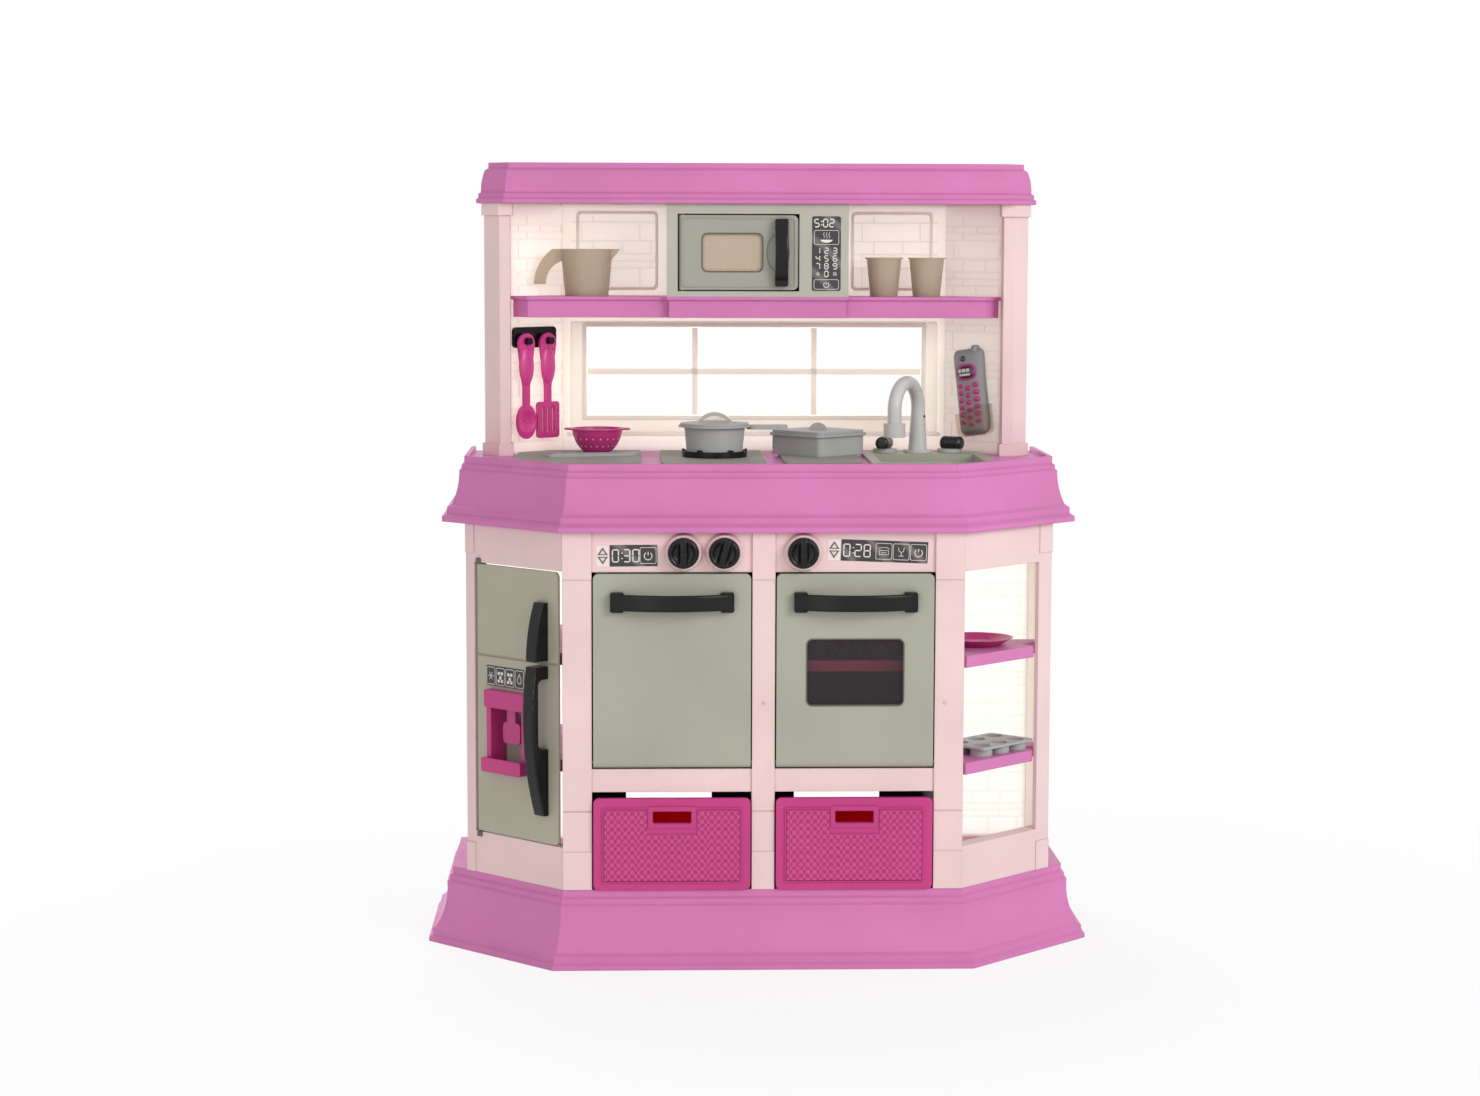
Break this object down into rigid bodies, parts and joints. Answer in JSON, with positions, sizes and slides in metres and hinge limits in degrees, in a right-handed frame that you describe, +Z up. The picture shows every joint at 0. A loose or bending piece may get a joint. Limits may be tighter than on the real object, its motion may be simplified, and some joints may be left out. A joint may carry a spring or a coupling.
{
  "type": "toy kitchen",
  "caption": "Free-standing toddler play kitchen: chamfered cabinet with fridge, oven, dishwasher, drawers and open shelves, sink and hob counter, hutch with microwave, and loose cookware.",
  "frame": {"origin": "centre of the bounding box on the floor", "axes": "+X to the right as one faces the front, -Y out of the front, +Z up"},
  "size_m": [0.75, 0.32, 0.882],
  "materials": {
    "violet_pink": "satin moulded plastic",
    "pale_pink": "satin moulded plastic",
    "cream": "satin moulded plastic",
    "grey_green": "satin moulded plastic",
    "black": "glossy moulded plastic",
    "magenta": "satin moulded plastic",
    "silver_grey": "fine metal-flake plastic",
    "clear_taupe": "tinted see-through plastic",
    "smoked": "smoked see-through plastic",
    "steel": "plated"
  },
  "bodies": {
    "cabinet": {"base_plinth": "violet_pink", "front_frame": "pale_pink", "fridge_frame": "pale_pink", "shelf_frame": "pale_pink", "lower_side_panels": "cream", "lower_back_panel": "cream", "partitions": "cream", "compartment_floors": "cream", "inner_shelves": "violet_pink", "cavity_racks": "pale_pink", "counter_top": "violet_pink", "counter_plates": "grey_green", "burner_grate": "black", "sink_basin": "grey_green", "hutch_posts": "pale_pink", "hutch_back_panel": "cream", "hutch_side_panels": "cream", "hutch_shelf": "violet_pink", "microwave_case": "grey_green", "microwave_front": "grey_green", "top_cornice": "violet_pink", "utensil_rack": "black", "phone_holder": "clear_taupe", "screws": "steel"},
    "fridge_door": {"fridge_door": "grey_green", "fridge_handle": "black", "dispenser": "magenta"},
    "dispenser_paddle": {"dispenser_paddle": "magenta"},
    "dishwasher_door": {"dishwasher_door": "grey_green", "dishwasher_handle": "black"},
    "oven_door": {"oven_door": "grey_green", "oven_handle": "black", "oven_window": "smoked"},
    "microwave_door": {"microwave_door": "grey_green", "microwave_window": "clear_taupe", "microwave_handle": "black"},
    "faucet": {"faucet": "silver_grey", "faucet_nut": "silver_grey"},
    "left_drawer": {"left_drawer": "magenta"},
    "right_drawer": {"right_drawer": "magenta"},
    "left_knob": {"left_knob": "black"},
    "middle_knob": {"middle_knob": "black"},
    "right_knob": {"right_knob": "black"},
    "left_tap": {"left_tap": "black"},
    "right_tap": {"right_tap": "black"},
    "measuring_cup": {"measuring_cup": "clear_taupe"},
    "left_cup": {"left_cup": "clear_taupe"},
    "right_cup": {"right_cup": "clear_taupe"},
    "colander": {"colander": "magenta"},
    "pot": {"pot": "silver_grey"},
    "pot_lid": {"pot_lid": "silver_grey"},
    "casserole": {"casserole": "silver_grey"},
    "casserole_lid": {"casserole_lid": "silver_grey"},
    "knife": {"knife": "silver_grey"},
    "fork": {"fork": "silver_grey"},
    "spoon": {"spoon": "magenta"},
    "spatula": {"spatula": "magenta"},
    "dish": {"dish": "magenta"},
    "muffin_tray": {"muffin_tray": "silver_grey"},
    "phone": {"phone": "silver_grey"}
  },
  "joints": [
    {"name": "fridge_door_hinge", "type": "hinge", "parent": "cabinet", "child": "fridge_door", "pos_m": [-0.31197, -0.03448, 0.2835], "axis": [0, 0, -1], "range_deg": [0, 90]},
    {"name": "dispenser_paddle_hinge", "type": "hinge", "parent": "fridge_door", "child": "dispenser_paddle", "pos_m": [-0.27661, -0.06984, 0.286], "axis": [0.7071, -0.7071, 0], "range_deg": [0, 10]},
    {"name": "dishwasher_door_hinge", "type": "hinge", "parent": "cabinet", "child": "dishwasher_door", "pos_m": [-0.10016, -0.129, 0.2255], "axis": [1, 0, 0], "range_deg": [0, 90]},
    {"name": "oven_door_hinge", "type": "hinge", "parent": "cabinet", "child": "oven_door", "pos_m": [0.10016, -0.129, 0.2255], "axis": [1, 0, 0], "range_deg": [0, 90]},
    {"name": "microwave_door_hinge", "type": "hinge", "parent": "cabinet", "child": "microwave_door", "pos_m": [-0.086, 0.065, 0.7805], "axis": [0, 0, -1], "range_deg": [0, 95]},
    {"name": "left_drawer_slide", "type": "slide", "parent": "cabinet", "child": "left_drawer", "axis": [0, -1, 0], "range_m": [0, 0.11]},
    {"name": "right_drawer_slide", "type": "slide", "parent": "cabinet", "child": "right_drawer", "axis": [0, -1, 0], "range_m": [0, 0.11]},
    {"name": "left_knob_turn", "type": "hinge", "parent": "cabinet", "child": "left_knob", "pos_m": [-0.088, -0.138, 0.457], "axis": [0, -1, 0], "range_deg": [-135, 135]},
    {"name": "middle_knob_turn", "type": "hinge", "parent": "cabinet", "child": "middle_knob", "pos_m": [-0.0435, -0.138, 0.457], "axis": [0, -1, 0], "range_deg": [-135, 135]},
    {"name": "right_knob_turn", "type": "hinge", "parent": "cabinet", "child": "right_knob", "pos_m": [0.0425, -0.138, 0.457], "axis": [0, -1, 0], "range_deg": [-135, 135]},
    {"name": "faucet_swivel", "type": "hinge", "parent": "cabinet", "child": "faucet", "pos_m": [0.188, 0.092, 0.55], "axis": [0, 0, 1], "range_deg": [-20, 50]},
    {"name": "left_tap_turn", "type": "hinge", "parent": "cabinet", "child": "left_tap", "pos_m": [0.1505, 0.098, 0.55], "axis": [0, 0, 1], "range_deg": [-90, 90]},
    {"name": "right_tap_turn", "type": "hinge", "parent": "cabinet", "child": "right_tap", "pos_m": [0.2255, 0.098, 0.55], "axis": [0, 0, 1], "range_deg": [-90, 90]},
    {"name": "measuring_cup_lift", "type": "slide", "parent": "cabinet", "child": "measuring_cup", "axis": [0, 0, 1], "range_m": [0, 0.045]},
    {"name": "left_cup_lift", "type": "slide", "parent": "cabinet", "child": "left_cup", "axis": [0, 0, 1], "range_m": [0, 0.05]},
    {"name": "right_cup_lift", "type": "slide", "parent": "cabinet", "child": "right_cup", "axis": [0, 0, 1], "range_m": [0, 0.05]},
    {"name": "colander_lift", "type": "slide", "parent": "cabinet", "child": "colander", "axis": [0, 0, 1], "range_m": [0, 0.1]},
    {"name": "pot_lift", "type": "slide", "parent": "cabinet", "child": "pot", "axis": [0, 0, 1], "range_m": [0, 0.06]},
    {"name": "casserole_lift", "type": "slide", "parent": "cabinet", "child": "casserole", "axis": [0, 0, 1], "range_m": [0, 0.06]},
    {"name": "knife_lift", "type": "slide", "parent": "cabinet", "child": "knife", "axis": [0, 0, 1], "range_m": [0, 0.05]},
    {"name": "fork_lift", "type": "slide", "parent": "cabinet", "child": "fork", "axis": [0, 0, 1], "range_m": [0, 0.05]},
    {"name": "dish_lift", "type": "slide", "parent": "cabinet", "child": "dish", "axis": [0, 0, 1], "range_m": [0, 0.08]},
    {"name": "muffin_tray_lift", "type": "slide", "parent": "cabinet", "child": "muffin_tray", "axis": [0, 0, 1], "range_m": [0, 0.06]},
    {"name": "pot_lid_lift", "type": "slide", "parent": "pot", "child": "pot_lid", "axis": [0, 0, 1], "range_m": [0, 0.04]},
    {"name": "casserole_lid_lift", "type": "slide", "parent": "casserole", "child": "casserole_lid", "axis": [0, 0, 1], "range_m": [0, 0.05]},
    {"name": "phone_lift", "type": "slide", "parent": "cabinet", "child": "phone", "axis": [-0.0984, 0.0984, 0.9903], "range_m": [0, 0.022]},
    {"name": "spoon_unhook", "type": "slide", "parent": "cabinet", "child": "spoon", "axis": [0.7071, -0.7071, 0], "range_m": [0, 0.018]},
    {"name": "spatula_unhook", "type": "slide", "parent": "cabinet", "child": "spatula", "axis": [0.7071, -0.7071, 0], "range_m": [0, 0.018]}
  ]
}
